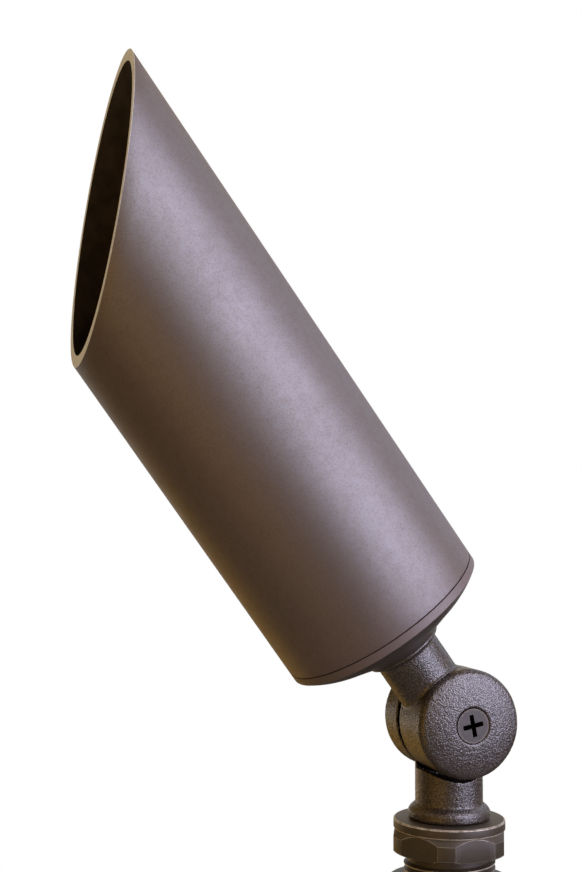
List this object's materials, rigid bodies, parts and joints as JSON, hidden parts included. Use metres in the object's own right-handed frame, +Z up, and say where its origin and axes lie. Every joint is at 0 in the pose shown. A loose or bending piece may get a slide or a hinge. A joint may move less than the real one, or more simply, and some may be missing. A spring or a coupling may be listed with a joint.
{
  "type": "garden spike spotlight",
  "caption": "Garden spotlight with a slant-cut tubular glare shroud on a tilting knuckle, screwed on a swivel bushing into a plastic ground spike.",
  "frame": {"origin": "centre of the underside of the spike's shoulder, which rests on the ground", "axes": "+Z up along the spike and the swivel axis, the lamp leans towards -Y, and +X is along the knuckle pin towards the head of its screw"},
  "size_m": [0.068, 0.1451, 0.4788],
  "materials": {
    "spike_plastic": "moulded, slightly glossy black-grey",
    "rubber_black": "matte",
    "brass_turned": "machined, dark bronze patina with bright edges",
    "brass_cast": "rough cast, dark bronze patina, sparkling",
    "brass_shroud": "turned, satin dark bronze patina",
    "brass_plain": "turned, no patina",
    "screw_steel": "satin, darkened",
    "steel_zinc": "zinc plated",
    "spring_steel": "satin",
    "contact_metal": "nickel plated",
    "silicone_gasket": "matte red silicone",
    "lead_insulation": "sleeved",
    "ceramic_white": "unglazed ceramic",
    "reflector_glass": "faceted dichroic glass bowl",
    "clear_glass": "clear"
  },
  "bodies": {
    "spike": {"ground_spike": "spike_plastic", "cable_grommet": "rubber_black", "hex_bushing": "brass_turned", "seat_ring": "brass_turned"},
    "base": {"knuckle_base": "brass_cast", "pivot_screw": "screw_steel", "knuckle_o_ring": "rubber_black", "friction_washer": "spring_steel"},
    "head": {"knuckle_head": "brass_cast", "neck_washer": "brass_plain", "neck_nut": "brass_plain", "lead_seal": "rubber_black", "back_cap": "brass_shroud", "cap_o_ring": "rubber_black", "socket_bracket": "steel_zinc", "bracket_screws": "steel_zinc", "lamp_socket": "ceramic_white", "socket_contacts": "contact_metal", "socket_screws": "steel_zinc", "socket_nuts": "steel_zinc", "socket_leads": "lead_insulation", "lamp_reflector": "reflector_glass", "lamp_base": "ceramic_white", "lamp_pins": "contact_metal", "lamp_capsule": "clear_glass", "lamp_front_glass": "clear_glass"},
    "glare_shroud": {"shroud": "brass_shroud", "lens": "clear_glass", "lens_gasket": "silicone_gasket", "lens_ring": "spring_steel"}
  },
  "joints": [
    {"name": "base_swivel", "type": "hinge", "parent": "spike", "child": "base", "pos_m": [0, 0, 0.0476], "axis": [0, 0, 1], "range_deg": [-180, 180]},
    {"name": "head_tilt", "type": "hinge", "parent": "base", "child": "head", "pos_m": [0, 0, 0.0765], "axis": [1, 0, 0], "range_deg": [-126.2, 53.8]},
    {"name": "shroud_turn", "type": "hinge", "parent": "head", "child": "glare_shroud", "pos_m": [0.0029, 0, 0.0765], "axis": [0, -0.5906, 0.807], "continuous": true}
  ]
}
